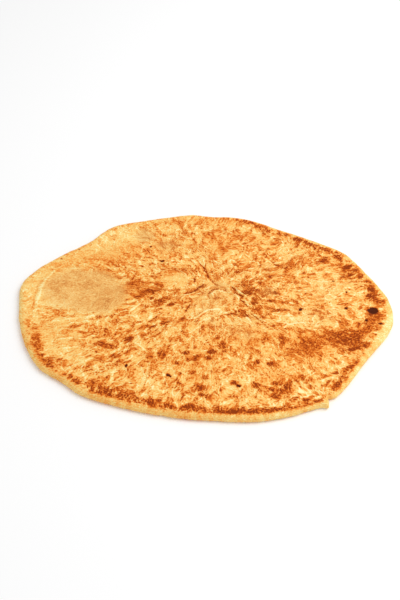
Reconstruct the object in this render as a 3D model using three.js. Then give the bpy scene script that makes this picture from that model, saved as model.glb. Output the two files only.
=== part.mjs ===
// A layered flatbread: dough coiled into a gather, rolled out by hand and baked flat on a pan.
// Millimetres, +Z up. The origin is the centre of the bread's box, on the surface that it lies on.
// It baked as one piece, so it is one closed solid: a flat underside, a rounded edge with a puffed
// lip, and a top with the gather's pleats, the coil's rings and one sunken unbrowned patch.
import * as THREE from "three";

// Overall sizes.
const LENGTH = 250; // across X
const WIDTH = 190.5; // across Y
const THICKNESS = 5; // from the underside to the highest point of the top

// The rounded edge.
const EDGE_BELLY = 2; // height at which the edge stands out furthest
const FOOT_INSET = 2.2; // from the outline in to where the flat underside starts
const SHOULDER_INSET = 4; // from the outline in to where the top starts

// The puffed lip round the top.
const LIP_WIDTH = 13; // from the outline in to where the lip has sunk into the top
const LIP_RISE = 0.8; // at the front, where the lip is fullest
const LIP_RISE_BACK = 0.3; // at the back, where it is lowest

// The long swells of hand-rolled dough.
const SWELL_RISE = 0.5; // from trough to crest
const SWELL_SPAN = 74; // from one crest to the next along X
const SWELL_SPAN_ACROSS = 58; // and along Y

// The gather, where the coil of dough was pinched shut, and the rings that the coil left round it.
const GATHER_X = 12;
const GATHER_Y = 18;
const GATHER_DIMPLE = 0.5; // how deep the middle of the gather sinks
const GATHER_RADIUS = 11;
const COIL_RISE = 0.4; // from the hollow between two turns to the top of a turn
const COIL_PITCH = 19; // from one turn to the next
const COIL_REACH = 70; // from the gather out to where the turns have been rolled flat

// Pleats run out from the gather: the heading in degrees from +X towards +Y, and how far each reaches.
const PLEAT_DEPTH = 0.8;
const PLEAT_WIDTH = 5;
const PLEATS = [
  { heading: -52, reach: 44 },
  { heading: -95, reach: 26 },
  { heading: -126, reach: 20 },
  { heading: -153, reach: 46 },
  { heading: 124, reach: 36 },
  { heading: 78, reach: 30 },
  { heading: 16, reach: 33 },
];

// The unbrowned patch, which stood clear of the pan.
const PATCH_X = -82;
const PATCH_Y = 15;
const PATCH_LENGTH = 56;
const PATCH_WIDTH = 48;
const PATCH_DEPTH = 0.5;

// The outline, anticlockwise from the front: its bulges, its straighter stretches, the small torn
// step at the front right and the larger one at the back left. It is fitted to LENGTH and WIDTH.
const OUTLINE = [
  [10, -94.2],
  [30, -94.5],
  [50, -90.7],
  [69, -83.8],
  [74.5, -82.8],
  [75.4, -77.6],
  [80, -75.3],
  [90.4, -62.8],
  [100, -48.6],
  [117.6, -25],
  [122.7, -14.5],
  [123.8, -2],
  [122.5, 8],
  [117.5, 20],
  [104.5, 44],
  [97.5, 53.6],
  [72, 69.6],
  [50, 80.7],
  [35, 88.9],
  [20, 93],
  [4, 93.6],
  [-8, 95.6],
  [-30, 92],
  [-50, 87.6],
  [-64, 83.5],
  [-73.2, 76.4],
  [-80.5, 67],
  [-100, 52],
  [-118.7, 33.8],
  [-125.3, 21],
  [-123.7, 1],
  [-122, -13],
  [-112.8, -39.5],
  [-102, -55.4],
  [-91, -62.5],
  [-77.5, -73.6],
  [-52, -83.5],
  [-22, -91],
];

// How finely the surface is divided.
const SPOKES = 168;
const TOP_RINGS = 15;
const RING_CROWDING = 1.2; // over 1 draws the rings closer together towards the gather
const ARC_STEPS = 2; // each quarter of the rounded edge is drawn in twice as many steps

const gather = new THREE.Vector2(GATHER_X, GATHER_Y);

// The outline as evenly spaced points, stretched so that their box is LENGTH by WIDTH round the origin.
function rimPoints() {
  const corners = OUTLINE.map(([x, y]) => new THREE.Vector3(x, y, 0));
  const curve = new THREE.CatmullRomCurve3(corners, true, "centripetal");
  const points = curve.getSpacedPoints(SPOKES).map((p) => new THREE.Vector2(p.x, p.y));
  const box = new THREE.Box2().setFromPoints(points);
  const middle = box.getCenter(new THREE.Vector2());
  const stretch = new THREE.Vector2(LENGTH, WIDTH).divide(box.getSize(new THREE.Vector2()));
  points.forEach((p) => p.sub(middle).multiply(stretch));
  return points;
}

// The section of a round blank, from the middle of the underside, round the edge, to the middle of the top.
function blankSection(radius) {
  const shoulder = radius - SHOULDER_INSET;
  const section = new THREE.Path();
  section.moveTo(0, 0);
  section.lineTo(radius - FOOT_INSET, 0);
  section.absellipse(radius - FOOT_INSET, EDGE_BELLY, FOOT_INSET, EDGE_BELLY, -Math.PI / 2, 0, false);
  section.absellipse(shoulder, EDGE_BELLY, SHOULDER_INSET, THICKNESS - EDGE_BELLY, 0, Math.PI / 2, false);
  for (let ring = TOP_RINGS - 1; ring >= 0; ring--) {
    section.lineTo(shoulder * (ring / TOP_RINGS) ** RING_CROWDING, THICKNESS);
  }
  return section.getPoints(ARC_STEPS);
}

// The lip rises towards the outline, and more at the front than at the back.
function lip(heading, inset) {
  const backness = (1 + Math.sin(heading)) / 2;
  const rise = THREE.MathUtils.lerp(LIP_RISE, LIP_RISE_BACK, backness);
  return rise * (1 - THREE.MathUtils.smoothstep(inset, SHOULDER_INSET, LIP_WIDTH));
}

function swell(x, y) {
  const along = Math.sin((2 * Math.PI * x) / SWELL_SPAN);
  const across = Math.cos((2 * Math.PI * y) / SWELL_SPAN_ACROSS);
  return (SWELL_RISE / 2) * along * across;
}

// One spiral ridge: each turn lies a pitch further out than the last.
function coil(heading, distance) {
  const turns = distance / COIL_PITCH - heading / (2 * Math.PI);
  const fade = 1 - THREE.MathUtils.smoothstep(distance, COIL_PITCH, COIL_REACH);
  return (COIL_RISE / 2) * fade * Math.cos(2 * Math.PI * turns) * Math.min(1, distance / COIL_PITCH);
}

// A pleat is a groove along its heading, deepest near the gather and gone at its reach.
function pleats(heading, distance) {
  let depth = 0;
  for (const pleat of PLEATS) {
    const turn = heading - THREE.MathUtils.degToRad(pleat.heading);
    const along = distance * Math.cos(turn);
    const across = distance * Math.sin(turn);
    const fade = along > 0 ? 1 - THREE.MathUtils.smoothstep(along, 0, pleat.reach) : 0;
    const groove = PLEAT_DEPTH * Math.exp(-((across / (PLEAT_WIDTH / 2)) ** 2));
    depth = Math.max(depth, groove * fade);
  }
  return depth;
}

function dimple(distance) {
  return GATHER_DIMPLE * (1 - THREE.MathUtils.smoothstep(distance, 0, GATHER_RADIUS));
}

function patch(x, y) {
  const offCentre = Math.hypot((x - PATCH_X) / (PATCH_LENGTH / 2), (y - PATCH_Y) / (PATCH_WIDTH / 2));
  return PATCH_DEPTH * (1 - THREE.MathUtils.smoothstep(offCentre, 0, 1));
}

// How far the top rises above or sinks below a level top at a point.
function relief(point, inset) {
  const spoke = point.clone().sub(gather);
  const heading = Math.atan2(spoke.y, spoke.x);
  const distance = spoke.length();
  const raised = lip(heading, inset) + swell(point.x, point.y) + coil(heading, distance);
  const sunken = Math.max(pleats(heading, distance), dimple(distance)) + patch(point.x, point.y);
  return raised - sunken;
}

// A round blank is turned from the section, and its points are then moved out along the spokes from
// the gather to the rim. Rings in the edge keep their inset; rings inside the shoulder spread evenly.
function flatbreadGeometry() {
  const rim = rimPoints();
  const radius = LENGTH / 2;
  const section = blankSection(radius);
  const shoulderRow = section.length - 1 - TOP_RINGS;
  const placed = [];
  for (const rimPoint of rim) {
    const spoke = rimPoint.clone().sub(gather);
    const reach = spoke.length();
    const direction = spoke.normalize();
    section.forEach((blank, row) => {
      const edgeInset = radius - blank.x;
      const spread = ((reach - SHOULDER_INSET) * blank.x) / (radius - SHOULDER_INSET);
      const distance = edgeInset < SHOULDER_INSET ? reach - edgeInset : spread;
      const point = direction.clone().multiplyScalar(distance).add(gather);
      const rise = relief(point, reach - distance);
      placed.push({ point, height: blank.y, rise, onTop: row >= shoulderRow });
    });
  }
  const crest = Math.max(...placed.filter(({ onTop }) => onTop).map(({ rise }) => rise));
  const geometry = new THREE.LatheGeometry(section, SPOKES);
  placed.forEach(({ point, height, rise }, index) => {
    const share = Math.max(0, height - EDGE_BELLY) / (THICKNESS - EDGE_BELLY);
    geometry.attributes.position.setXYZ(index, point.x, point.y, height + (rise - crest) * share);
  });
  geometry.computeVertexNormals();
  return geometry;
}

const flatbread = new THREE.Mesh(
  flatbreadGeometry(),
  new THREE.MeshStandardMaterial({ color: 0xe0a050, roughness: 0.75, metalness: 0 }),
);
flatbread.name = "flatbread";

const bread = new THREE.Group();
bread.add(flatbread);

export default bread;
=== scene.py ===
import math

import bpy
import numpy as np
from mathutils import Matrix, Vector
from mathutils.bvhtree import BVHTree


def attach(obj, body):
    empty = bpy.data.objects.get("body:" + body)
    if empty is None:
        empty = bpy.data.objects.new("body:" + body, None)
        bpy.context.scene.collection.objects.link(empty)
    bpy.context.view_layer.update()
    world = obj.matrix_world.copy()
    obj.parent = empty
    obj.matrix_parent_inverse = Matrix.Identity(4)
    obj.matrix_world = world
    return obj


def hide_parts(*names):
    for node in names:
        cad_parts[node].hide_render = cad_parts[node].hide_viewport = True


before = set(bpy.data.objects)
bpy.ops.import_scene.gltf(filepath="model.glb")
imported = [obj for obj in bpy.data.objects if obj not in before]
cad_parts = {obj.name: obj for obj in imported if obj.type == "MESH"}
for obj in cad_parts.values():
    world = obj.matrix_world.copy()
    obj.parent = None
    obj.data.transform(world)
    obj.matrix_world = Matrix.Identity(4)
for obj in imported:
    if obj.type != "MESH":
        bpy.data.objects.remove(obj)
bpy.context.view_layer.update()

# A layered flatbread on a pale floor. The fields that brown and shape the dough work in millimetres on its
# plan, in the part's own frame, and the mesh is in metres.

MM = 0.001

# ----------------------------------------
# Noise: every field is drawn from numbered seeds, so each run gives the same bread.

NOISE_TILE = 64  # cells before a noise repeats
NOISE_GAIN = 1.5  # brings gradient noise to about -1 to 1


def ease(value, low, high):
    """0 at low, 1 at high, with a smooth start and finish. It falls instead where high is under low."""
    share = np.clip((value - low) / (high - low), 0.0, 1.0)
    return share * share * (3.0 - 2.0 * share)


def noise(x, y, span, seed):
    """Smooth gradient noise from about -1 to 1, whose bumps are about span across."""
    angles = np.random.default_rng(seed).uniform(0.0, 2.0 * math.pi, (NOISE_TILE, NOISE_TILE))
    column, row = np.floor(x / span).astype(int), np.floor(y / span).astype(int)
    across, up = x / span - column, y / span - row
    blend_x, blend_y = ease(across, 0.0, 1.0), ease(up, 0.0, 1.0)
    corners = []
    for step_y in (0, 1):
        for step_x in (0, 1):
            angle = angles[(column + step_x) % NOISE_TILE, (row + step_y) % NOISE_TILE]
            corners.append(np.cos(angle) * (across - step_x) + np.sin(angle) * (up - step_y))
    low = corners[0] + (corners[1] - corners[0]) * blend_x
    high = corners[2] + (corners[3] - corners[2]) * blend_x
    return NOISE_GAIN * (low + (high - low) * blend_y)


def layered_noise(x, y, spans, seed, keep=1.0):
    """Noises of several spans added up, each keep times as strong as the one before."""
    total = np.zeros_like(x)
    for number, span in enumerate(spans):
        total += keep**number * noise(x, y, span, seed + number)
    return total


def noises(x, y, rows):
    """Noises added up, each given as its strength, its span and its seed."""
    return sum(strength * noise(x, y, span, seed) for strength, span, seed in rows)


# ----------------------------------------
# Marks, given one by one in millimetres from the middle of the bread.

GATHER = (12.0, 18.0)  # where the coiled dough was pinched shut


def blot(x, y, centre, half_length, half_width, turn=0.0):
    """A soft oval: 1 in its middle, 0 from its outline on."""
    away_x, away_y = x - centre[0], y - centre[1]
    cos, sin = math.cos(math.radians(turn)), math.sin(math.radians(turn))
    along = (away_x * cos + away_y * sin) / half_length
    across = (away_y * cos - away_x * sin) / half_width
    return 1.0 - ease(np.hypot(along, across), 0.0, 1.0)


def path_distance(x, y, path):
    """Each point's distance from a bent line, how far along it the nearest point is, from 0 to 1, and the
    distance again, under 0 at the line's right."""
    nearest = np.full_like(x, np.inf)
    reached, signed = np.zeros_like(x), np.zeros_like(x)
    lengths = [math.dist(a, b) for a, b in zip(path, path[1:])]
    walked = 0.0
    for (start, end), length in zip(zip(path, path[1:]), lengths):
        run_x, run_y = (end[0] - start[0]) / length, (end[1] - start[1]) / length
        along = np.clip((x - start[0]) * run_x + (y - start[1]) * run_y, 0.0, length)
        away = np.hypot(x - start[0] - along * run_x, y - start[1] - along * run_y)
        closer = away < nearest
        nearest = np.where(closer, away, nearest)
        reached = np.where(closer, (walked + along) / sum(lengths), reached)
        at_left = run_x * (y - start[1]) - run_y * (x - start[0]) > 0.0
        signed = np.where(closer, np.where(at_left, away, -away), signed)
        walked += length
    return nearest, reached, signed


STROKE_TAPER = 0.15  # share of its length over which a band fades at each end


def tapered(reached, taper):
    return ease(reached, 0.0, taper) * ease(reached, 1.0, 1.0 - taper)


def stroke(x, y, path, half_width):
    """A soft band along a bent line."""
    away, reached, _ = path_distance(x, y, path)
    return (1.0 - ease(away, 0.0, half_width)) * tapered(reached, STROKE_TAPER)


# Browning is 0 for raw dough and 1 for the darkest brown. Each row moves it up or down over a soft oval:
# centre, half length, half width, turn in degrees, change.
BROWN_BLOTS = (
    # the unbrowned patch's own darker places
    ((-82, 14), 34, 26, 0, 0.06),
    ((-64, 4), 13, 9, 20, 0.14),
    ((-100, 17), 12, 8, 20, 0.12),
    ((-80, 20), 18, 8, 0, 0.06),
    ((-42, 71), 9, 8, 0, 0.18),
    ((-25, 62), 16, 8, 0, 0.05),
    # left of the gather, where the dough lay closest to the pan
    ((-42, 16), 22, 20, 0, 0.29),
    ((-24, 4), 19, 10, -10, 0.20),
    ((-52, -13), 20, 8, 0, 0.14),
    ((-62, -32), 16, 10, -10, 0.12),
    ((-62, 42), 30, 15, 10, 0.12),
    ((-15, 37), 16, 8, 0, 0.12),
    # the two large patches at the front right, and the one that runs up the right side
    ((66, -37), 24, 18, 15, 0.35),
    ((80, -28), 15, 11, 20, 0.12),
    ((93, -28), 16, 17, 0, 0.60),
    ((109, -16), 9, 14, -25, 0.44),
    # round the gather
    ((32, 14), 16, 20, 20, 0.18),
    ((11, 21), 10, 7, 0, 0.06),
    ((36, 5), 12, 9, 0, 0.12),
    ((50, -3), 16, 7, -10, 0.18),
    ((58, 32), 26, 18, 20, 0.12),
    ((20, 60), 34, 22, 0, 0.06),
    # along the right edge
    ((101, 30), 9, 13, 20, 0.14),
    ((112, 11), 7, 10, -20, 0.14),
    ((113, -10.5), 9, 7, 10, 0.32),
    ((117.5, 2), 4, 9, 10, 0.16),
    # along the front
    ((-56, -72), 26, 8, -18, 0.20),
    ((-95, -50), 14, 8, -45, 0.05),
    ((50, -70), 14, 10, 10, 0.15),
    ((32, -68), 8, 7, 0, 0.10),
    ((28, -30), 24, 17, 0, 0.07),
    ((-8, -46), 34, 14, 0, 0.06),
)

PALE_BLOTS = (
    # the left half, its rim most of all
    ((-92, 10), 70, 70, 0, -0.10),
    ((-112, 14), 12, 26, 0, -0.14),
    ((-55, 70), 44, 18, 25, -0.17),
    ((-100, -30), 18, 12, 0, -0.06),
    ((-97, 1), 18, 9, 8, -0.13),
    ((-84, -44), 20, 11, -30, -0.16),
    # smooth places round the gather
    ((-21, 26), 13, 10, 0, -0.20),
    ((4, 5), 15, 13, 0, -0.11),
    ((6, -9), 18, 7, 10, -0.04),
    # the open field at the right
    ((85, 20), 26, 22, 0, -0.13),
    ((103, 8), 9, 12, 0, -0.18),
    ((66, -15), 26, 11, -10, -0.17),
    ((90, -4), 22, 9, 0, -0.10),
    ((57, 56), 11, 8, 0, -0.14),
    # the front right
    ((75, -58), 18, 14, 30, -0.20),
    ((60, -74), 14, 9, 30, -0.24),
    ((24, -67), 18, 12, 0, -0.16),
    ((30, -79), 24, 6, 0, -0.14),
    # the front left
    ((-36, -66), 22, 10, 0, -0.10),
    ((-18, -54), 14, 8, 0, -0.10),
    ((-40, -25), 12, 9, 50, -0.10),
)

# Bands of browning that follow the edge: path, half width, change.
BROWN_BANDS = (
    # just inside the front lip
    (((-112, -14), (-109.5, -30), (-104.5, -43), (-98.5, -52), (-89.5, -60), (-79.5, -66), (-70, -70)),
     6, 0.28),
    (((-80, -65), (-70, -70), (-60, -74.5), (-51, -77), (-39, -80), (-27, -82.5), (-14, -84)), 6, 0.14),
    (((-16, -84), (-2.5, -88), (15.5, -88.5), (36, -88.5), (54.5, -85), (72, -79)), 5, 0.16),
    # along the lower right edge
    (((78, -76), (83, -68), (90, -58), (98, -48), (104, -40)), 7, 0.16),
    # along the right and back edge
    (((119, -4), (116, 8), (110, 21), (101, 38), (92, 50), (78, 60), (62, 70)), 9, 0.15),
    (((66, 68), (52, 76), (40, 83), (26, 88), (6, 89)), 7, 0.22),
)

# Narrower bands that keep their line.
BROWN_STREAKS = (
    # the dark line at the front and its ends
    (((-16, -86), (-6, -87.6), (4, -89)), 3.6, 0.36),
    (((2, -89), (15, -89.4), (30, -89.2), (44, -88.8), (54, -88)), 4.6, 0.62),
    (((48, -88.2), (56.5, -87.2), (62.5, -85.4), (71, -81.6)), 3.0, 0.34),
    (((-70, -71.5), (-61, -74.2), (-52, -78), (-42, -81.2), (-36, -83.2)), 4.4, 0.28),
    (((-38, -82.6), (-29, -85), (-17, -86), (-8, -87.6)), 2.8, 0.17),
    # along the lower right edge
    (((78.5, -73), (81, -69), (83.5, -65.5), (86, -61)), 2.6, 0.36),
    (((87, -59), (90, -54.5), (94, -50)), 2.4, 0.30),
    # below the dark patch at the right
    (((86, -40.5), (91, -39.5), (96, -37.5), (101, -35.5)), 2.4, 0.26),
    (((91, -31), (97, -29.5), (104, -27)), 2.4, 0.16),
    # short arcs round the gather, along two of its creases: browning and painted shade
    (((-15, 9), (-11.5, 11.5), (-9, 14), (-6, 16.5), (3, 19)), 2.0, 0.12),
    (((-13, -7), (-11, -2), (-9.5, 2)), 2.0, 0.22),
)

PALE_BANDS = (
    (((-122, 26), (-121, 4), (-119, -14)), 6, -0.12),
    (((-120, 24), (-112, 35), (-98, 47), (-84, 58), (-74, 69), (-62, 78), (-44, 84)), 9, -0.08),
)

# Where the browning is even instead of flaky: centre, half length, half width, turn, how much calmer.
CALM_BLOTS = (
    ((-98, 42), 28, 14, 40, 0.60),
    ((-70, 48), 34, 17, 12, 0.60),
    ((-42, 17), 24, 20, 0, 0.35),
    ((12, 88), 60, 13, 0, 0.50),
    ((-60, 66), 56, 26, 30, 0.50),
    ((-112, 14), 18, 40, 0, 0.70),
    ((-95, -28), 38, 26, -20, 0.68),
    ((-21, 26), 14, 11, 0, 0.75),
    ((4, 3), 18, 16, 0, 0.45),
    ((11, 21), 10, 7, 0, 0.45),
    ((67, -37), 26, 20, 15, 0.80),
    ((96, -27), 20, 16, 0, 0.60),
    ((111, -13), 10, 13, -20, 0.60),
    ((28, -28), 28, 20, 0, 0.45),
    ((18, 64), 46, 24, 0, 0.35),
    ((-30, 56), 24, 16, 0, 0.35),
)

# Creases (under 0) and raised folds (over 0) in the dough: path, half width, strength. The strength
# also paints shade into each crease and a highlight onto each fold in the material.
LINES = (
    # the pleats of the gather
    (((-8, 50), (-5, 45.5), (-2, 39.5), (1.5, 34), (2.5, 28.5), (6, 23.5), (9, 21), (14, 18)), 1.0, -0.9),
    (((17, 20.5), (18.5, 18.5), (22.5, 12.5), (25.5, 9.0), (29, 5.5)), 0.9, -1.0),
    (((20, 21.5), (22.5, 18.5), (23.5, 16), (26, 13.5), (28, 10.5), (31, 8.5)), 0.6, -0.6),
    (((24, 6.5), (27, 2.5), (30.5, -2), (33, -5)), 0.8, -0.9),
    (((26.5, -5.5), (28, -8.5), (32.5, -15.5)), 0.7, -0.8),
    (((29, -4), (31.5, -7.5), (35, -11.8), (40, -17)), 0.6, -0.8),
    (((15.5, 14), (14, 16.5), (9.5, 17), (5, 15.5), (3, 11), (4.5, 5)), 0.8, -0.7),
    (((-9.5, 33), (-7, 27.5), (-6, 22)), 0.8, -0.6),
    (((-14, 11), (-9.5, 13), (-5, 15.5), (-3, 18), (1, 21)), 0.9, -0.7),
    (((-17, 4), (-13, 9), (-8, 12.5), (-4, 14)), 0.7, 0.6),
    (((11, -7.5), (20, -7), (26, -8.5)), 0.9, -0.6),
    (((44, 46), (49, 40.5), (53, 38.5)), 0.9, -0.8),
    (((14, 23), (20, 25), (27, 23)), 0.8, -0.5),
    (((-13, -7), (-11, -2), (-9.5, 2)), 1.0, -0.6),
    # the light that catches beside them
    (((-10, 48), (-6.5, 43), (-3.5, 37.5), (0, 32), (0.5, 27)), 1.0, 0.5),
    (((15, 19), (17.5, 15), (21.5, 10), (25.5, 5)), 0.9, 0.6),
    (((18.8, 21), (21, 17.8), (23.5, 14), (26.5, 10.5), (30, 7)), 0.6, 0.9),
    (((27, 5), (30, 0.5), (33.5, -4)), 0.6, 0.7),
    (((25, -6.5), (27, -9.5), (31, -16)), 0.6, 0.7),
    (((31.5, -6.2), (35, -10.2), (39, -14.5)), 0.6, 0.7),
    (((15, 12), (12, 14.5), (8, 14.5), (5.5, 11.5), (6.5, 6)), 0.8, 0.8),
    (((-8, -15), (-5.5, -11.5), (-2, -7.5), (2.5, -4), (7.5, -3), (13, -3.5)), 1.1, 1.0),
    (((3, -11.5), (9.5, -9), (15, -6), (21, -4.5)), 0.8, 0.6),
    (((-8, 34), (-5, 28), (-4.5, 22)), 0.7, 0.5),
    # at the left: the ridge round the grey patch, and wrinkles
    (((-110, -8), (-111, 4), (-110, 18), (-107, 27), (-101, 36), (-93, 42)), 1.2, 0.5),
    (((-112.5, -6), (-113.5, 5), (-112.5, 19), (-109, 29)), 1.2, -0.35),
    (((-106, -14), (-92, -13), (-78, -10), (-66, -7)), 1.2, 0.22),
    (((-38, -16), (-34, -12), (-30, -9)), 0.8, -0.8),
    (((-40, -14.5), (-35.5, -10.5), (-32, -7.5)), 0.8, 0.6),
    (((-40, 57), (-38.5, 53), (-38, 49)), 0.8, -0.5),
    (((-100, -24), (-88, -21), (-76, -22)), 0.8, 0.5),
    (((-98, -31), (-86, -29), (-72, -30)), 0.9, 0.5),
    (((-94, -38), (-80, -37), (-68, -41)), 0.9, 0.4),
    (((-96, -20), (-86, -18), (-80, -19)), 0.8, -0.5),
    # short wrinkles under the gather and to its right
    (((-38, -24), (-33, -18), (-29, -15)), 0.6, -0.5),
    (((-35, -27), (-30, -20), (-26, -17)), 0.6, -0.5),
    (((-32, -29), (-27, -22), (-23, -19)), 0.6, -0.4),
    (((40, -6), (50, -9), (60, -8)), 0.8, 0.6),
    (((46, -14), (56, -17), (68, -15)), 0.9, 0.7),
    (((62, 28), (66, 35), (66, 44)), 0.9, 0.6),
    (((68, 26), (72, 34), (71, 43)), 0.9, 0.5),
    (((72, 8), (84, 6), (95, 9)), 0.9, 0.5),
    (((60, -68), (63, -62), (70, -57)), 0.8, 0.6),
    (((74, -72), (78, -66), (80, -60)), 0.8, 0.6),
)
LINE_SPREAD = 2.6  # how far from a line its strength has faded to nothing
LINE_TAPER = 0.25  # share of its length over which a line fades at each end
LINE_LIMIT = 6.0  # the greatest distance from a line that is told, in its half widths


def lines(x, y):
    """How far the nearest line is, in half widths and positive at its left, and its strength here."""
    nearest = np.full_like(x, np.inf)
    side, half, strength = np.zeros_like(x), np.ones_like(x), np.zeros_like(x)
    for path, half_width, line_strength in LINES:
        away, reached, signed = path_distance(x, y, path)
        closer = away < nearest
        here = line_strength * tapered(reached, LINE_TAPER) * ease(away, LINE_SPREAD, 0.5 * LINE_SPREAD)
        nearest = np.where(closer, away, nearest)
        side = np.where(closer, signed, side)
        half = np.where(closer, half_width, half)
        strength = np.where(closer, here, strength)
    return np.clip(side / half, -LINE_LIMIT, LINE_LIMIT), strength


# Dark flecks and blisters, and then the darkest ones: centre, half length, half width and, if any, turn.
SPOTS = (
    ((106.5, 28), 3, 2.2, -40), ((112.5, 16), 4, 2.6, -50), ((97, 29), 3, 2.2), ((87.5, 53.5), 4, 2, -25),
    ((94, 46.5), 4, 2, -40), ((120.5, 4.5), 1.8, 1.6), ((50, -31), 2.6, 4.6, 20), ((76, 61), 4, 2.5, -20),
    ((84, 56), 3, 2), ((67, 66), 4, 2, -20), ((33, 3), 3, 2, -20), ((36, -3), 2.4, 1.8, -30),
    ((38, 22), 3, 2), ((23, 33), 2.4, 1.6), ((30, 12), 3, 1.8, -40), ((26, -8), 2.4, 2), ((44, 5), 3, 1.6),
    ((14, 15), 1.8, 1.4), ((8, 7), 2.6, 1.8), ((48, 12), 2.4, 1.6), ((36, 14), 3, 2), ((22, -5), 2, 1.4),
    ((-66, -34), 5.5, 3, -10), ((-48, -29), 4.5, 3, 30), ((-57, -45), 5, 2, 10), ((-39, -27), 2, 3, -20),
    ((-35, -45), 2.5, 2), ((-27, -43), 3, 3.5), ((-12, -42), 2.2, 2), ((-11, -47), 1.6, 1.6),
    ((-5, -46.5), 2.5, 2.3), ((5, -41), 2.7, 2.3), ((2, -46), 1.6, 1.5), ((-17, -50), 1.9, 1.8),
    ((9, -28), 2, 1.8), ((12, -36), 3, 4.5, 20), ((32, -50), 2.3, 2), ((-16, -59), 2.2, 2.8),
    ((-8, -58), 3.4, 2), ((1, -62), 2.5, 2.2), ((-2, -70), 3.5, 3), ((17, -66.5), 3, 1.9),
    ((42, -77), 2.8, 2.6), ((44, -67), 3.4, 2.6), ((48, -73), 3, 2.4), ((52, -67), 3, 2.2, 30),
    ((31, -68), 3, 2.8), ((38, -71), 2.4, 2.2), ((61, -62), 2.7, 2.3, 20), ((96, -51.5), 2.8, 2.4),
    ((104, -34), 4, 2.2, 15), ((96, -38), 6, 2.2, 15), ((-9, -85), 4, 2.2), ((40, -30), 4, 2.6, 60),
    ((-69, -9.5), 2.6, 2.1), ((-26, -16), 3, 2.2), ((-14, -12), 2.4, 1.8, 20), ((-44, 8), 4, 2),
    ((-36, 14), 4, 2.2), ((-30, 5), 4, 2), ((-22, 1), 3.4, 1.8, 30), ((-50, 22), 3, 2.2),
    ((-86, -20), 5, 1.4, 5), ((-78, -24), 4, 1.3), ((55, -79), 3.4, 1.8, 10), ((61.5, -80), 3, 1.6, 10),
    ((65, -78), 3.4, 1.8, 20), ((67.5, -75), 2.6, 1.6), ((75.5, -61), 3.2, 1.8, 15),
    ((72, -62.5), 2.4, 1.6), ((77, -66), 3, 1.6, 20), ((74.5, -69), 2.8, 1.8), ((65.5, -70), 3, 1.7),
    ((62.5, -65), 3, 1.8, 20), ((59, -76), 2.6, 1.6), ((81, -59), 2.6, 1.6), ((97.5, -51.5), 2.2, 2.2),
    ((102, -44), 2.4, 1.8, 40), ((70, -81), 2.4, 1.4, 20), ((61, -80), 2.6, 1.4),
)

DARK_DOTS = (
    ((83.5, 44), 4, 4.2, -40), ((99, 37.5), 3, 2.4), ((111.5, 9.5), 3.2, 3), ((112.5, 16), 3.4, 1.8, -50),
    ((-26.5, -42.5), 3.4, 3), ((-5, -46), 2.7, 2.6), ((-65, -34), 4.6, 2.2, -10),
    ((-59, -36), 3.6, 1.8, -20), ((-47.5, -29), 3.6, 2.2), ((61, -61.5), 2.6, 2.2), ((43, -77), 3.4, 3),
    ((17.5, -66.5), 3.4, 1.6), ((-16, -50), 2, 1.8), ((-12, -42.5), 2, 1.8), ((-16, -65.5), 2, 2.4, 20),
    ((-1.5, -76.5), 2.4, 1.8), ((42, -51), 2.6, 2), ((41, -71), 2.2, 1.8), ((2.5, -46), 1.8, 1.8),
    ((50.5, -69.5), 2.6, 2.2), ((47, -72.5), 2.6, 2), ((32, -68.5), 2.6, 2.2), ((33, -49.5), 2.6, 2.2),
    ((12, -38), 2.6, 4, 20), ((5, -41), 3, 2), ((104, -36), 3.4, 2.4, 10), ((102, -44), 2.2, 1.6, 40),
    ((97.5, -51.5), 2, 1.8), ((-33, -18.5), 3.6, 1.2, 30), ((-3, -71), 2, 2.6), ((-9.5, -85.5), 4, 1.8),
    ((54, 3.5), 3.4, 1.4), ((49, -4), 3.6, 1.4), ((27, -9), 2.2, 1.8, -30), ((33, 6), 2, 1.6, -30),
)

# Where separate dots stand on even, pale dough: centre, half length, half width, turn, how much less flaky.
DOTTED = (
    ((-5, -52), 48, 22, -5, 0.70),
    ((40, -62), 40, 18, 10, 0.62),
    ((14, -30), 34, 18, 0, 0.40),
    ((86, 12), 28, 24, 0, 0.35),
)


# How the plan is pushed about, so that no mark keeps a clean outline: noises along X and along Y, each given
# as its strength, its span and its seed.
DRIFT = (
    ((2.6, 17.0, 11), (1.1, 7.0, 12), (0.4, 3.2, 13)),
    ((2.6, 17.0, 21), (1.1, 7.0, 22), (0.4, 3.2, 23)),
)
SOFTENING = (
    ((0.8, 5.0, 41), (0.3, 2.2, 44)),
    ((0.8, 5.0, 42),),
)
TEARING = (
    ((0.8, 5.0, 41), (0.3, 2.2, 44), (0.7, 3.1, 47)),
    ((0.8, 5.0, 42), (0.7, 3.1, 48)),
)
FRAYING = (
    ((0.7, 2.4, 91),),
    ((0.7, 2.4, 92),),
)


def pushed(x, y, pushes, share=1.0):
    """The plan with a share of these pushes added to it."""
    along_x, along_y = pushes
    return x + share * noises(x, y, along_x), y + share * noises(x, y, along_y)


def strongest(x, y, rows, spread, gain):
    """The strongest of many small ovals, each drawn spread times as large. A gain over 1 flattens its top."""
    total = np.zeros_like(x)
    for centre, half_length, half_width, *turn in rows:
        oval = blot(x, y, centre, spread * half_length, spread * half_width, *turn)
        total = np.maximum(total, np.clip(gain * oval, 0.0, 1.0))
    return total


def blots(x, y, rows):
    return sum(change * blot(x, y, centre, long, wide, turn) for centre, long, wide, turn, change in rows)


def bands(x, y, rows):
    return sum(change * stroke(x, y, path, half_width) for path, half_width, change in rows)


def blended(first, second, share):
    return [a + (b - a) * share for a, b in zip(first, second)]


# ----------------------------------------
# The flow: where the material looks up its noises.

FLOW_POWER = 0.76  # under 1, the grain is drawn out along the lines that run from the gather
FLOW_RADIUS = 75.0  # this far from the gather the grain is as fine as the material states
FLOW_CORE = 8.0  # nearer than this it gets no finer

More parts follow.
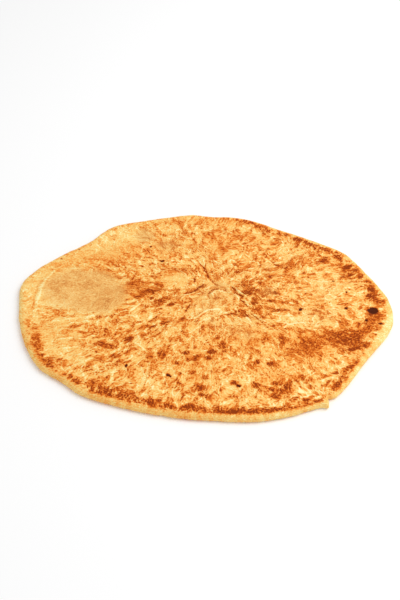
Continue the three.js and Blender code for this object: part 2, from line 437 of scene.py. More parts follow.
# Behind the gather the grain runs along the back edge: centre, half length, half width and turn of the place,
# then how far the grain is drawn out (under 1) along that turn and across it.
BACK_GRAIN = ((24, 62), 70, 36, -14)
BACK_GRAIN_ALONG = 0.66
BACK_GRAIN_ACROSS = 1.10
BACK_GRAIN_FULL = 0.7  # the place's strength from which the grain has turned all the way


def pulled(away_x, away_y):
    """A place, as seen from the gather, pulled in towards it."""
    distance = np.hypot(np.hypot(away_x, away_y), FLOW_CORE)
    pull = (distance / FLOW_RADIUS) ** (FLOW_POWER - 1.0)
    return away_x * pull, away_y * pull


def back_flow(x, y):
    """The flow behind the gather. It meets the pulled one in the middle of that place."""
    (centre_x, centre_y), turn = BACK_GRAIN[0], math.radians(BACK_GRAIN[-1])
    cos, sin = math.cos(turn), math.sin(turn)
    start_x, start_y = pulled(centre_x - GATHER[0], centre_y - GATHER[1])
    away_x, away_y = x - centre_x, y - centre_y
    along = (away_x * cos + away_y * sin) * BACK_GRAIN_ALONG
    across = (away_y * cos - away_x * sin) * BACK_GRAIN_ACROSS
    return start_x + along * cos - across * sin, start_y + along * sin + across * cos


def flow(x, y):
    """The plan pushed about and pulled in, so that the grain gets finer near the gather and points to it."""
    far_x, far_y = pushed(x, y, DRIFT)
    share = ease(blot(far_x, far_y, *BACK_GRAIN), 0.0, BACK_GRAIN_FULL)
    return blended(pulled(far_x - GATHER[0], far_y - GATHER[1]), back_flow(far_x, far_y), share)


# ----------------------------------------
# The browning: pale dough with browned flakes on it. The fields say how brown both are, how much the flakes
# cover, and how grey and how burnt the dough is.

FLAKE_SPANS = (9.0, 5.4, 3.4, 2.3)
FLAKE_KEEP = 1.1  # each span's strength next to the one before
FLAKE_CONTRAST = 0.36  # browning of a flake over the dough round it
FLAKE_SEED = 31
STREAK_STEPS = (-1.5, -0.5, 0.5, 1.5)  # averaging over these draws the flakes out
STREAK_WANDER = 0.9  # how far the streaks turn away from the gather, in radians
STREAK_WANDER_SPAN = 30.0

COVERED = 0.40  # share of the dough that flakes cover where the browning is COVERED_AT
COVERED_AT = 0.44
COVERED_GAIN = 0.85  # how much that share grows with the browning
COVERED_LIMITS = (0.10, 0.85)
COVER_SPREAD = 2.4  # how fast the flake cover rises with that share

BROWNING_KNEE = 0.70  # from here on it slows down, so that the darkest flakes keep their grain
BROWNING_BRAKE = 2.5


def flaky_noise(x, y, seed):
    """Noise drawn out along the lines that run from the gather, as the rolled-out pleats are."""
    away_x, away_y = x - GATHER[0], y - GATHER[1]
    distance = np.hypot(away_x, away_y) + 1.0
    turn = STREAK_WANDER * noise(x, y, STREAK_WANDER_SPAN, seed + 9)
    cos, sin = np.cos(turn), np.sin(turn)
    run_x, run_y = (away_x * cos - away_y * sin) / distance, (away_x * sin + away_y * cos) / distance
    total = np.zeros_like(x)
    for step in STREAK_STEPS:
        total += layered_noise(x + step * run_x, y + step * run_y, FLAKE_SPANS, seed, FLAKE_KEEP)
    return total / len(STREAK_STEPS)


def held_back(browning):
    over = np.maximum(browning - BROWNING_KNEE, 0.0)
    return np.minimum(browning, BROWNING_KNEE) + over / (1.0 + BROWNING_BRAKE * over)


def dough_fields(level, calm, flakes):
    """Browning between the flakes and on them, and the flake cover, which is over 0 on a flake."""
    contrast = FLAKE_CONTRAST * (1.0 - calm)
    covered = np.clip(COVERED + COVERED_GAIN * (level - COVERED_AT), *COVERED_LIMITS)
    pale = level - contrast * covered
    cover = flakes + COVER_SPREAD * (covered - 0.5)
    return held_back(pale), held_back(pale + contrast), cover


# The patch that stood clear of the pan and never browned: two ovals, joined and given a ragged edge.
PATCH = (((-82, 16), 46, 33, 0), ((-70, 10), 30, 28, 0))
PATCH_DRIFT = 0.6  # share of the drift that its outline takes
PATCH_RAGGED = 0.07
PATCH_RAGGED_SPANS = (8.0, 3.6)
PATCH_EDGE = (0.18, 0.52)


def unbrowned(x, y):
    """1 on the unbrowned patch, with a fairly sharp edge."""
    near_x, near_y = pushed(x, y, DRIFT, PATCH_DRIFT)
    first, second = (blot(near_x, near_y, *oval) for oval in PATCH)
    ragged = PATCH_RAGGED * layered_noise(x, y, PATCH_RAGGED_SPANS, 49)
    return ease(np.maximum(first, second) + ragged, *PATCH_EDGE)


# Dough that never touched the pan stays a greyish beige. The last number is how grey.
GREY_BLOTS = (
    ((-42, 71), 11, 12, 0, 0.9),
    ((-26, 60), 14, 9, 0, 0.5),
    ((5, -15), 7, 5, 0, 0.4),
    ((28, -28), 7, 5, 0, 0.4),
    ((44, 13), 10, 7, 0, 0.4),
    ((6, 12), 18, 16, 0, 0.35),
    ((11, 21), 10, 7, 0, 0.30),
    ((2, -2), 18, 12, 0, 0.25),
    ((72, -10), 30, 14, 0, 0.20),
    ((82, 18), 26, 18, 0, 0.20),
    ((20, -20), 22, 16, 0, 0.20),
)
GREY_DRIFT = 0.4
GREY_GAIN = 1.6


def greyness(x, y):
    near_x, near_y = pushed(x, y, DRIFT, GREY_DRIFT)
    return np.clip(GREY_GAIN * blots(near_x, near_y, GREY_BLOTS) + unbrowned(x, y), 0.0, 1.0)


TOP_LEVEL = 0.505  # browning of the top where no mark changes it
WANDER = ((0.05, 13.0, 35), (0.04, 6.5, 36))  # how it wanders: strength, span and seed
CALM_PATCH = 0.72  # how calm the unbrowned patch is
CALM_MOST = 0.78
DOTTED_MOST = 0.7
DOTTED_WANDER = 0.6  # how much less it wanders where the dots stand
DOTTED_CALM = 0.45  # how calm the dough is between them
SPOT_SPREAD = 1.25
SPOT_GAIN = 1.5
SPOT_LEVEL = 0.08  # how much browner a spot is
SPOT_LEVEL_DOTTED = 0.05  # and how much more where the dots stand
DOT_LEVEL = 0.20  # the same for the darkest spots
SPOT_COVER = 2.3


def top_fields(x, y):
    far_x, far_y = pushed(x, y, DRIFT)
    soft_x, soft_y = pushed(x, y, SOFTENING)
    level = TOP_LEVEL + blots(far_x, far_y, BROWN_BLOTS) + blots(far_x, far_y, PALE_BLOTS)
    level = level + bands(far_x, far_y, BROWN_BANDS) + bands(far_x, far_y, PALE_BANDS)
    level = level + bands(*pushed(x, y, TEARING), BROWN_STREAKS)
    calm = np.clip(blots(far_x, far_y, CALM_BLOTS) + CALM_PATCH * unbrowned(x, y), 0.0, CALM_MOST)
    dotted = np.clip(blots(far_x, far_y, DOTTED), 0.0, DOTTED_MOST)
    level = level + (1.0 - calm) * (1.0 - DOTTED_WANDER * dotted) * noises(far_x, far_y, WANDER)

    spots = strongest(soft_x, soft_y, SPOTS, SPOT_SPREAD, SPOT_GAIN)
    dots = strongest(soft_x, soft_y, DARK_DOTS, SPOT_SPREAD, SPOT_GAIN)
    either = np.maximum(spots, dots)
    calm = np.maximum(calm, DOTTED_CALM * dotted * (1.0 - either))
    level = level + (SPOT_LEVEL + SPOT_LEVEL_DOTTED * dotted) * spots + DOT_LEVEL * dots
    flakes = flaky_noise(far_x, far_y, FLAKE_SEED) * (1.0 - dotted)
    pale, dark, cover = dough_fields(level, calm, flakes)
    return pale, dark, cover + SPOT_COVER * either


UNDER_SHIFT = 300.0  # moves the underside's noises away from the top's
UNDER_LEVEL = 0.55
UNDER_WANDER = ((0.12, 38.0, 71), (0.08, 16.0, 72))
UNDER_CALM = 0.15
UNDER_FLAKE_SEED = 81


def under_fields(x, y):
    """The underside, browned all over in broad, uneven patches."""
    far_x, far_y = pushed(x + UNDER_SHIFT, y, DRIFT)
    level = UNDER_LEVEL + noises(far_x, far_y, UNDER_WANDER)
    return dough_fields(level, np.full_like(x, UNDER_CALM), flaky_noise(far_x, far_y, UNDER_FLAKE_SEED))


# Burnt holes and specks, given in the same way.
CHARRED = (
    ((110.6, -4.3), 3.9, 4.2), ((112.6, -4.3), 3.9, 4.2), ((115, -16.5), 2.2, 1.2, -30),
    ((106, -13), 1.6, 1.3), ((64, -3), 1.8, 1.8), ((94, -2.5), 1.5, 1.5), ((96, 13), 1.2, 1.2),
    ((88, 24), 1.2, 1.2), ((-29, 44), 2.3, 1.5), ((-37.5, 59), 1.1, 1.1), ((-49, -52.5), 1.2, 1.8),
    ((-22, -60.5), 2.4, 1.3, -30), ((21, -69), 2.2, 1.4, 15), ((-88, 56), 0.9, 0.9), ((-99, 46), 0.9, 0.9),
)


CHAR_GAIN = 2.2


def charring(x, y):
    return strongest(*pushed(x, y, FRAYING), CHARRED, 1.0, CHAR_GAIN)


# ----------------------------------------
# The shape, taken from the CAD solid by rays and then given its fine relief.

TOP_CELLS = 256  # squares along each side of the top's grid
UNDER_CELLS = 128  # and of the underside's
HEADINGS = 4 * TOP_CELLS
RIM_HEADINGS = np.arange(HEADINGS) * 2.0 * math.pi / HEADINGS
RIM_COS, RIM_SIN = np.cos(RIM_HEADINGS), np.sin(RIM_HEADINGS)
RIM_STEPS_ABOVE = 6  # rows of the rounded edge above its widest line
RIM_STEPS_BELOW = 4

# The CAD solid's own sizes.
SHOULDER_INSET = 4.0  # from the outline in to where the top starts
FOOT_INSET = 2.2  # from the outline in to where the underside starts
BELLY_HEIGHT = 2.0  # where the edge stands out furthest
CREST = 5.0  # the highest point of the top

RAY_REACH = 200.0  # how far out the outline's rays start
RAY_HEIGHT = 50.0  # how high the top's rays start
OUTLINE_SMOOTHING = 6  # passes that smooth the outline's corners away
TOP_SMOOTHING = 14  # and the top's facets

# The columns of the points' tables.
LOOKS = ("pale", "dark", "cover", "grey", "char", "line_side", "line_strength")
COLUMNS = ("x", "y", "z", *LOOKS, "flow_x", "flow_y", "unrolled", "heading")


def table_of(*columns):
    """One row for each point. A single number fills its whole column."""
    return np.stack([column.ravel() for column in np.broadcast_arrays(*columns)], -1)


def solid_tree(node):
    corners = [vertex.co / MM for vertex in node.data.vertices]
    return BVHTree.FromPolygons(corners, [face.vertices for face in node.data.polygons])


def smoothed_ring(values, passes):
    for _ in range(passes):
        values = 0.5 * values + 0.25 * (np.roll(values, 1) + np.roll(values, -1))
    return values


def smoothed_grid(values, passes):
    """Each pass smooths up and down, then turns the grid over and does it again."""
    for _ in range(2 * passes):
        wide = np.pad(values, ((1, 1), (0, 0)), mode="edge")
        values = (0.5 * values + 0.25 * (wide[:-2] + wide[2:])).T
    return values


def outline_reach(solid):
    """How far the CAD solid's outline stands from the middle, for each of the rim's headings."""
    reach = []
    for cos, sin in zip(RIM_COS, RIM_SIN):
        out = Vector((cos, sin, 0.0))
        hit = solid.ray_cast(out * RAY_REACH + Vector((0.0, 0.0, BELLY_HEIGHT)), -out)[0]
        reach.append(hit.xy.length)
    return smoothed_ring(np.array(reach), OUTLINE_SMOOTHING)


def top_height(solid, x, y):
    """The height of the CAD solid's top, without its facets."""
    down = Vector((0.0, 0.0, -1.0))
    cast = [solid.ray_cast(Vector((px, py, RAY_HEIGHT)), down)[0].z for px, py in zip(x.flat, y.flat)]
    return smoothed_grid(np.array(cast).reshape(x.shape), TOP_SMOOTHING)


def disc_grid(cells):
    """A square grid bent into a disc: how far out each point lies, from 0 to 1, and in which heading."""
    steps = np.linspace(-1.0, 1.0, cells + 1)
    a, b = np.meshgrid(steps, steps)
    sideways = np.abs(a) > np.abs(b)
    out = np.where(sideways, a, b)
    safe = np.where(out == 0.0, 1.0, out)
    turn = np.where(sideways, b / safe, 2.0 - a / safe) * math.pi / 4.0
    return np.abs(out), np.mod(np.where(out < 0.0, turn + math.pi, turn), 2.0 * math.pi)


def grid_numbers(cells, first=0):
    return first + np.arange((cells + 1) ** 2).reshape(cells + 1, cells + 1)


def ring_of(cells):
    """The numbers of the grid's border points, anticlockwise from heading 0."""
    numbers = grid_numbers(cells)
    right, top = numbers[:, -1], numbers[-1, ::-1]
    left, bottom = numbers[::-1, 0], numbers[0, :]
    around = np.concatenate([right[:-1], top[:-1], left[:-1], bottom[:-1]])
    return np.roll(around, -(cells // 2))


def grid_faces(cells, first, facing_up):
    numbers = grid_numbers(cells, first)
    corners = [numbers[:-1, :-1], numbers[:-1, 1:], numbers[1:, 1:], numbers[1:, :-1]]
    if not facing_up:
        corners.reverse()
    return np.stack([corner.ravel() for corner in corners], -1)


def band_faces(upper, lower):
    """Faces between two rings of the same count, the upper one above or inside the lower one."""
    return np.stack([upper, lower, np.roll(lower, -1), np.roll(upper, -1)], -1)


def halving_faces(fine, coarse):
    """Triangles between a ring and one with half as many points."""
    first, middle, last = fine[0::2], fine[1::2], np.roll(fine, -2)[0::2]
    after = np.roll(coarse, -1)
    return np.concatenate([
        np.stack([first, coarse, middle], -1),
        np.stack([middle, coarse, after], -1),
        np.stack([middle, after, last], -1),
    ])


def at_heading(values, heading):
    """Values known at the rim's headings, at any heading."""
    full_turn = np.append(RIM_HEADINGS, 2.0 * math.pi)
    return np.interp(heading, full_turn, np.append(values, values[0]))


# Small waves of the outline: how far each moves it in, strength, span and seed.
RIM_WAVES = (
    (0.3, 0.22, 6.0, 51),
    (0.0, 0.12, 2.6, 52),
)

# Where the edge tore: heading in degrees, half width, and how far the edge moves out.
TEARS = (
    (360 - 48.4, 2.2, 1.5),     # a crumb
    (360 - 45.8, 2.4, -1.9),    # the nick beside it
    (360 - 43.5, 2.0, 0.5),
    (360 - 106, 5.0, -0.4),
    (360 - 150, 5.0, -0.4),
    (148, 4.0, -0.4),
    (67, 4.0, -0.3),
)


def torn_reach(solid):
    """The CAD solid's outline with its small waves and torn places."""
    reach = outline_reach(solid)
    for inset, strength, span, seed in RIM_WAVES:
        reach = reach - inset + strength * noise(reach * RIM_COS, reach * RIM_SIN, span, seed)
    for degrees, half_width, step in TEARS:
        away = reach * np.abs(RIM_HEADINGS - math.radians(degrees))
        reach = reach + step * ease(away, half_width, 0.0)
    return reach


UNEVENNESS = ((0.10, 14.0, 43), (0.10, 7.0, 44), (0.05, 3.4, 46))  # strength, span and seed
LINE_RISE = 0.45  # how high the strongest fold stands, and how deep the deepest crease is
LINE_FOOT = 2.0  # how far out a line's groove or ridge reaches, in its half widths
FLAKE_RISE = 0.12
FLAKE_STEP = (-0.3, 0.6)  # the cover at a flake's foot and on its top
CHAR_DEPTH = 0.35


def fine_relief(x, y, cover, char, side, strength):
    """What hand rolling and baking left on the top: creases, folds, flaky bumps and sunken burnt spots."""
    rise = LINE_RISE * strength * ease(np.abs(side), LINE_FOOT, 0.0)
    rise = rise + noises(x, y, UNEVENNESS)
    return rise + FLAKE_RISE * ease(cover, *FLAKE_STEP) - CHAR_DEPTH * char


def edge_profile(shoulder_height):
    """The rounded edge's rows, from under the shoulder to the foot: inset from the outline, and height."""
    rows = []
    for step in range(1, RIM_STEPS_ABOVE + 1):
        turn = 0.5 * math.pi * step / RIM_STEPS_ABOVE
        inset = SHOULDER_INSET * (1.0 - math.sin(turn))
        rows.append((inset, BELLY_HEIGHT + (shoulder_height - BELLY_HEIGHT) * math.cos(turn)))
    for step in range(1, RIM_STEPS_BELOW + 1):
        turn = 0.5 * math.pi * step / RIM_STEPS_BELOW
        rows.append((FOOT_INSET * (1.0 - math.cos(turn)), BELLY_HEIGHT * (1.0 - math.sin(turn))))
    return rows


# The browning of the lip and of the side, and its places as in BROWN_BLOTS.
SIDE_LEVEL = 0.41
SIDE_BLOTS = (
    ((120, -14), 14, 30, -14, -0.28),
    ((-124, 12), 20, 50, 0, -0.10),
    ((98, -55), 46, 22, 55, -0.18),
    ((48, -89), 46, 16, 10, -0.18),
    ((-95, -62), 60, 26, -35, -0.07),
)
SIDE_CALM = 0.72


def side_fields(x, y, z, cover):
    """The lip and the side of the bread, which the pan never browned."""
    level = SIDE_LEVEL + 0.07 * noise(x + 3.0 * z, y, 13.0, 61) + 0.05 * noise(x, y + 4.0 * z, 4.0, 62)
    level = level + blots(x, y, SIDE_BLOTS)
    return dough_fields(level, np.full_like(x, SIDE_CALM), cover)


# How far in from the outline the unbrowned lip reaches: heading in degrees from +X towards +Y, then width.
LIP_WIDTHS = (
    (-180, 4.5), (-160, 4.5), (-140, 4.4), (-120, 4.0), (-95, 4.2), (-75, 4.6), (-65, 4.2), (-55, 3.2),
    (-40, 2.6), (-30, 3.5), (-20, 5.5), (-12, 7.2), (-4, 5.4), (3, 4.6), (10, 4.5), (40, 4.5),
    (90, 3.0), (140, 4.0), (180, 4.5),
)
LIP_FADE = 2.5


def lip_share(heading, inset):
    """1 on the lip and on the side, 0 on the browned top. The inset is measured over the surface."""
    headings, widths = zip(*LIP_WIDTHS)
    width = np.interp(np.degrees(heading), headings, widths, period=360.0)
    return ease(inset, width, width - LIP_FADE)


def top_table(solid, reach):
    share, heading = disc_grid(TOP_CELLS)
    rim = at_heading(reach, heading)
    radius = share * (rim - SHOULDER_INSET)
    x, y = radius * np.cos(heading), radius * np.sin(heading)
    fields = top_fields(x, y)
    char = charring(x, y)
    side, strength = lines(*pushed(x, y, SOFTENING))
    height = top_height(solid, x, y) + fine_relief(x, y, fields[2], char, side, strength)
    fields = blended(fields, side_fields(x, y, height, fields[2]), lip_share(heading, rim - radius))
    height = height - max(0.0, height.max() - CREST)
    return table_of(x, y, height, *fields, greyness(x, y), char, side, strength, *flow(x, y), radius, heading)


EDGE_GRAIN = 2.0  # how far the grain runs on for each millimetre down the edge


def edge_tables(reach, shoulder_height):
    """A table for each row of the rounded edge."""
    tables = []
    walked = reach - SHOULDER_INSET
    last_inset, last_height = SHOULDER_INSET, shoulder_height
    for inset, height in edge_profile(shoulder_height):
        x, y = (reach - inset) * RIM_COS, (reach - inset) * RIM_SIN
        walked = walked + np.hypot(last_inset - inset, last_height - height)
        last_inset, last_height = inset, height
        fields = top_fields(x, y)
        lip = lip_share(RIM_HEADINGS, reach - walked)
        fields = blended(fields, side_fields(x, y, height, fields[2]), lip)
        flow_x, flow_y = flow(x, y)
        flow_y = flow_y + EDGE_GRAIN * (height - shoulder_height)
        looks = (*fields, 0.0, charring(x, y), 0.0, 0.0)
        tables.append(table_of(x, y, height, *looks, flow_x, flow_y, walked, RIM_HEADINGS))
    return tables


UNDER_INSET = 1.6  # from the foot in to where the underside's coarser grid starts
UNDER_LIFT = 0.12  # how high the underside stands off the pan, and how much that varies
UNDER_LIFT_SPANS = (22.0, 9.0)
UNDER_LIFT_MOST = 0.4
UNDER_LIFT_FROM = 0.96  # the share of the way out from which it comes down to its foot
UNDER_GRAIN = 0.85  # under 1, the grain is drawn out along X


def under_table(reach):
    share, heading = disc_grid(UNDER_CELLS)
    radius = share * (at_heading(reach, heading) - FOOT_INSET - UNDER_INSET)
    x, y = radius * np.cos(heading), radius * np.sin(heading)
    lift = UNDER_LIFT + UNDER_LIFT * layered_noise(x, y, UNDER_LIFT_SPANS, 75)
    lift = np.clip(lift, 0.0, UNDER_LIFT_MOST) * ease(share, 1.0, UNDER_LIFT_FROM)
    looks = (*under_fields(x, y), 0.0, 0.0, 0.0, 0.0)
    return table_of(x, y, lift, *looks, UNDER_GRAIN * x + UNDER_SHIFT, y, radius, heading)


def build_bread(solid):
    """The bread's table of points, the faces of its top and edge, and those of its underside."""
    reach = torn_reach(solid)
    top = top_table(solid, reach)
    border = ring_of(TOP_CELLS)
    edge = edge_tables(reach, top[border, COLUMNS.index("z")])
    under = under_table(reach)

    firsts = len(top) + HEADINGS * np.arange(len(edge) + 1)
    rings = [border] + [np.arange(first, first + HEADINGS) for first in firsts[:-1]]
    upper_faces = [grid_faces(TOP_CELLS, 0, True)]
    upper_faces += [band_faces(inner, outer) for inner, outer in zip(rings, rings[1:])]
    under_faces = [
        halving_faces(rings[-1], firsts[-1] + ring_of(UNDER_CELLS)),
        grid_faces(UNDER_CELLS, firsts[-1], False),
    ]
    return np.concatenate([top, *edge, under]), upper_faces, under_faces


# The two discs of the UV layout: where the middle lies, and how much of the layout a millimetre takes.
UPPER_LAYOUT = (0.44, 0.66, 0.84 / 262.0)
UNDER_LAYOUT = (0.23, 0.165, 0.41 / 250.0)


def uv_layout(column, corners, on_upper):
    """The place of each of the faces' corners in the layout."""
    plan = np.hypot(column["x"], column["y"])[corners]
    middle_u, middle_v, scale = (np.where(on_upper, *pair) for pair in zip(UPPER_LAYOUT, UNDER_LAYOUT))
    out = scale * np.where(on_upper, column["unrolled"][corners], plan)
    turn = column["heading"][corners]
    return table_of(middle_u + out * np.cos(turn), middle_v + out * np.sin(turn))


def bread_object(table, upper_faces, under_faces):
    column = dict(zip(COLUMNS, table.T))
    faces = [face for group in upper_faces + under_faces for face in group.tolist()]
    mesh = bpy.data.meshes.new("flatbread_crust")
    mesh.from_pydata((table[:, :3] * MM).tolist(), [], faces)
    mesh.update()
    for name in LOOKS:
        mesh.attributes.new(name, "FLOAT", "POINT").data.foreach_set("value", column[name].astype(np.float32))
    flow_points = table_of(column["flow_x"], column["flow_y"], 0.0)
    flow_data = mesh.attributes.new("flow", "FLOAT_VECTOR", "POINT").data
    flow_data.foreach_set("vector", flow_points.astype(np.float32).ravel())

    corners = np.empty(len(mesh.loops), int)
    mesh.loops.foreach_get("vertex_index", corners)
    on_upper = np.arange(len(corners)) < sum(group.size for group in upper_faces)
    layout = uv_layout(column, corners, on_upper)
    mesh.uv_layers.new(name="OFBake").data.foreach_set("uv", layout.astype(np.float32).ravel())

    mesh.shade_smooth()
    bread = bpy.data.objects.new("flatbread_crust", mesh)
    bpy.context.scene.collection.objects.link(bread)
    return bread


# ----------------------------------------
# The dough's material.

# Browning, and the colour that it looks: red, green and blue from 0 to 255 on a screen.
BROWNING_COLOURS = (
    (0.00, (254, 240, 178)),
    (0.06, (253, 230, 154)),
    (0.17, (252, 214, 133)),
    (0.27, (251, 203, 118)),
    (0.37, (249, 193, 107)),
    (0.46, (247, 178, 91)),
    (0.54, (245, 167, 78)),
    (0.62, (240, 147, 59)),
    (0.70, (230, 125, 39)),
    (0.78, (216, 107, 26)),
    (0.86, (196, 88, 15)),
    (0.93, (180, 76, 11)),
    (1.00, (142, 55, 6)),
)
# The same on dough that stayed grey.
GREY_COLOURS = (
    (0.00, (252, 220, 150)),
    (0.35, (243, 190, 112)),
    (0.60, (228, 162, 86)),
    (1.00, (180, 108, 44)),
)
BURNT_DOUGH = (80, 28, 5)
SHININESS = 0.06
ROUGHNESS = (0.2, 0.9, 0.68, 0.5)  # two brownings, and the roughness at each

# The noises, in bumps for each millimetre of the flow, and how much each of them does.
LAYERING = 0.38  # ragged edges of the flakes
LAYERING_GAIN = 4.0  # on the flake cover
LAYERING_GAIN_DARK = 0.7  # on the browning, in the darkest places
SPECKLING = 0.75  # small specks
SPECKLING_GAIN = 3.2
GRAIN = 1.1  # the dough's own grain
GRAIN_GAIN_DARK = 1.5  # in the darkest places, next to 1 elsewhere
FOLDING = 0.14  # thin pale folds that wander between the flakes
FOLD_HALF_WIDTH = 0.04
FOLD_PALENESS = 0.9
CURLING = 0.19  # thin browned lines that curl between them
CURL_HALF_WIDTH = 0.05
CURL_BROWNING = 0.55

FLAKE_EDGE = 0.9  # a flake starts where the cover is minus this, and is full where it is this
CORE_EDGE = (1.2, 3.2)  # the same for a flake's core
CORE_BROWNING = 0.25  # how much browner the core is, as a share of the contrast
RIPPLE_REACH = 3.5  # the browning rises with the cover from minus this to this,
RIPPLE = 0.12  # by this much to each side
DARKEST = (0.72, 0.92)  # where the darkest places start and where they are full, on the flakes' browning
LINE_PAINTED_SHADE_AND_HIGHLIGHT = 0.55  # painted shade: how much browner the bottom of a crease looks, and painted highlight: how much paler a fold looks
LINE_CORE = (0.2, 1.0)  # where that starts to fade and where it has gone, in half widths
GREY_SHARE = 0.85  # how much of the grey colours the greyest dough takes
CHAR_EDGE = (0.45, 0.85)
BUMP_STRENGTH = 0.5
BUMP_HEIGHT = 0.0003  # in metres
FLAKE_BUMP = 0.6  # next to 1 for the grain and for the folds


def colour(screen):
    """A colour as seen on a screen, as the renderer's linear light."""
    linear = []
    for value in screen:
        share = value / 255.0
        linear.append(share / 12.92 if share <= 0.04045 else ((share + 0.055) / 1.055) ** 2.4)
    return (*linear, 1.0)


class Wiring:
    """Short calls that add one node each and wire its inputs."""

    def __init__(self, tree):
        self.tree = tree

    def node(self, kind, inputs=None, **settings):
        made = self.tree.nodes.new(kind)
        for name, value in settings.items():
            setattr(made, name, value)
        for name, value in (inputs or {}).items():
            if isinstance(value, bpy.types.NodeSocket):
                self.tree.links.new(value, made.inputs[name])
            else:
                made.inputs[name].default_value = value
        return made

    def maths(self, operation, first, second):
        return self.node("ShaderNodeMath", {0: first, 1: second}, operation=operation).outputs[0]

    def added(self, first, second):
        return self.maths("ADD", first, second)

    def less(self, first, second):
        return self.maths("SUBTRACT", first, second)

    def times(self, first, second):
        return self.maths("MULTIPLY", first, second)

    def size_of(self, value):
        return self.maths("ABSOLUTE", value, 0.0)

    def attribute(self, name, output="Fac"):
        return self.node("ShaderNodeAttribute", attribute_name=name).outputs[output]

    def noise(self, where, scale, detail, roughness, distortion):
        inputs = {"Vector": where, "Scale": scale, "Detail": detail, "Roughness": roughness,
                  "Distortion": distortion}
        return self.node("ShaderNodeTexNoise", inputs).outputs["Fac"]

    def swing(self, noise, gain):
        """A noise made to swing round zero, gain times as strong."""
        return self.times(self.less(noise, 0.5), gain)

    def between(self, value, low, high, at_low, at_high):
        """at_low where value is low, at_high where it is high, and a smooth step from one to the other."""
        inputs = {"Value": value, "From Min": low, "From Max": high, "To Min": at_low, "To Max": at_high}
        return self.node("ShaderNodeMapRange", inputs, interpolation_type="SMOOTHSTEP").outputs["Result"]

    def ridges(self, noise, half_width, height):
        """Thin wandering lines where a noise crosses its middle, height strong and 0 beside them."""
        return self.between(self.size_of(self.less(noise, 0.5)), 0.0, half_width, height, 0.0)

    def ramp(self, value, colours):
        made = self.node("ShaderNodeValToRGB", {"Fac": value})
        stops = made.color_ramp.elements
        stops[0].position, stops[1].position = colours[0][0], colours[-1][0]
        for position, _ in colours[1:-1]:
            stops.new(position)
        for stop, (_, screen) in zip(stops, colours):
            stop.color = colour(screen)
        return made.outputs["Color"]

    def mixed(self, share, first, second):
        """Two colours mixed. The node holds sockets for numbers and vectors ahead of its colour sockets."""
        made = self.node("ShaderNodeMix", {0: share, 6: first, 7: second}, data_type="RGBA")
        return made.outputs[2]


def dough_material():
    material = bpy.data.materials.new("baked_dough")
    material.use_nodes = True
    tree = material.node_tree
    tree.nodes.clear()
    wire = Wiring(tree)

    # the grain
    where = wire.attribute("flow", "Vector")
    layer = wire.noise(where, LAYERING, detail=3.0, roughness=0.62, distortion=0.3)
    speck = wire.noise(where, SPECKLING, detail=1.0, roughness=0.5, distortion=0.2)
    grain = wire.noise(where, GRAIN, detail=1.0, roughness=0.6, distortion=0.2)
    fold = wire.noise(where, FOLDING, detail=1.0, roughness=0.5, distortion=0.5)
    fold = wire.ridges(fold, FOLD_HALF_WIDTH, 1.0)
    curl = wire.noise(where, CURLING, detail=1.0, roughness=0.5, distortion=1.0)
    curl = wire.ridges(curl, CURL_HALF_WIDTH, CURL_BROWNING)

    # the flakes
    cover = wire.added(wire.attribute("cover"), wire.swing(layer, LAYERING_GAIN))
    cover = wire.added(cover, wire.swing(speck, SPECKLING_GAIN))
    flake = wire.between(cover, -FLAKE_EDGE, FLAKE_EDGE, 0.0, 1.0)
    core = wire.between(cover, *CORE_EDGE, 0.0, CORE_BROWNING)
    ripple = wire.between(cover, -RIPPLE_REACH, RIPPLE_REACH, -RIPPLE, RIPPLE)

    # how brown it all is
    pale, dark, char = wire.attribute("pale"), wire.attribute("dark"), wire.attribute("char")
    contrast = wire.less(dark, pale)
    browning = wire.added(pale, wire.times(contrast, wire.added(flake, core)))
    browning = wire.added(browning, ripple)
    thin_lines = wire.less(curl, wire.times(fold, FOLD_PALENESS))
    browning = wire.added(browning, wire.times(thin_lines, contrast))
    # painted shade in the creases and painted highlight on the folds, from the lines' strength
    painted_line_shade_and_highlight = wire.between(wire.size_of(wire.attribute("line_side")), *LINE_CORE, LINE_PAINTED_SHADE_AND_HIGHLIGHT, 0.0)
    browning = wire.less(browning, wire.times(painted_line_shade_and_highlight, wire.attribute("line_strength")))
    browning = wire.added(browning, char)
    darkest = wire.between(dark, *DARKEST, 0.0, 1.0)
    browning = wire.added(browning, wire.times(wire.swing(layer, LAYERING_GAIN_DARK), darkest))
    grain_gain = wire.between(dark, *DARKEST, 1.0, GRAIN_GAIN_DARK)
    browning = wire.added(browning, wire.swing(grain, grain_gain))

    # what it looks like
    grey = wire.times(wire.attribute("grey"), GREY_SHARE)
    skin = wire.mixed(grey, wire.ramp(browning, BROWNING_COLOURS), wire.ramp(browning, GREY_COLOURS))
    skin = wire.mixed(wire.between(char, *CHAR_EDGE, 0.0, 1.0), skin, colour(BURNT_DOUGH))
    height = wire.added(wire.times(flake, FLAKE_BUMP), wire.added(grain, fold))
    bump = wire.node("ShaderNodeBump", {"Height": height, "Strength": BUMP_STRENGTH, "Distance": BUMP_HEIGHT})
    surface = wire.node("ShaderNodeBsdfPrincipled", {
        "Base Color": skin,
        "Roughness": wire.between(browning, *ROUGHNESS),
        "Specular IOR Level": SHININESS,
        "Normal": bump.outputs["Normal"],
    })
    wire.node("ShaderNodeOutputMaterial", {"Surface": surface.outputs["BSDF"]})
    return material


# ----------------------------------------
# The floor, the light and the camera, in metres.

FLOOR_HALF = 3.0
FLOOR_COLOUR = (254, 254, 254)
WORLD_STRENGTH = 0.72
KEY_PLACE = Vector((0.6, 0.1, 0.8))
KEY_SIZE = 0.8
KEY_POWER = 5.0
LOOK_AT = Vector((-0.0027, 0.00952, 0.0))
CAMERA_DISTANCE = 0.65
CAMERA_RISE = math.radians(45.0)
LENS = 57.9


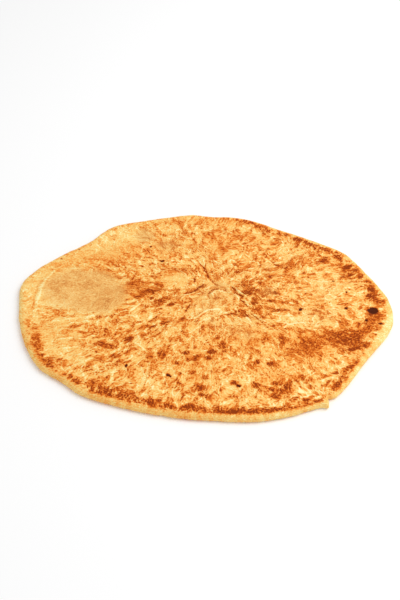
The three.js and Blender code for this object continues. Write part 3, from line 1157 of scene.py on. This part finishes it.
def plain_material(name, screen, roughness):
    material = bpy.data.materials.new(name)
    material.use_nodes = True
    surface = material.node_tree.nodes["Principled BSDF"]
    surface.inputs["Base Color"].default_value = colour(screen)
    surface.inputs["Roughness"].default_value = roughness
    surface.inputs["Specular IOR Level"].default_value = 0.0
    return material


def make_floor():
    ends = (-FLOOR_HALF, FLOOR_HALF)
    corners = [(x, y, 0.0) for x in ends for y in ends]
    mesh = bpy.data.meshes.new("floor")
    mesh.from_pydata(corners, [], [(0, 2, 3, 1)])
    mesh.materials.append(plain_material("white_floor", FLOOR_COLOUR, 0.9))
    floor = bpy.data.objects.new("floor", mesh)
    bpy.context.scene.collection.objects.link(floor)


def make_world():
    world = bpy.data.worlds.new("studio")
    world.use_nodes = True
    background = world.node_tree.nodes["Background"]
    background.inputs["Color"].default_value = (1.0, 1.0, 1.0, 1.0)
    background.inputs["Strength"].default_value = WORLD_STRENGTH
    bpy.context.scene.world = world


def aim(thing, place, target):
    thing.location = place
    thing.rotation_mode = "QUATERNION"
    thing.rotation_quaternion = (target - place).to_track_quat("-Z", "Y")


def make_key_light():
    lamp = bpy.data.lights.new("key", "AREA")
    lamp.shape = "DISK"
    lamp.size = KEY_SIZE
    lamp.energy = KEY_POWER
    holder = bpy.data.objects.new("key", lamp)
    aim(holder, KEY_PLACE, Vector((0.0, 0.0, 0.0)))
    bpy.context.scene.collection.objects.link(holder)


def make_camera():
    camera = bpy.data.objects.new("camera", bpy.data.cameras.new("camera"))
    camera.data.sensor_width = 36.0
    camera.data.lens = LENS
    camera.data.clip_start = 0.05
    back = Vector((0.0, -math.cos(CAMERA_RISE), math.sin(CAMERA_RISE)))
    aim(camera, LOOK_AT + back * CAMERA_DISTANCE, LOOK_AT)
    bpy.context.scene.collection.objects.link(camera)
    bpy.context.scene.camera = camera


bpy.context.scene.view_settings.view_transform = "Standard"

bread = bread_object(*build_bread(solid_tree(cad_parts["flatbread"])))
bread.data.materials.append(dough_material())
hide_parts("flatbread")
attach(bread, "root")

make_floor()
make_world()
make_key_light()
make_camera()
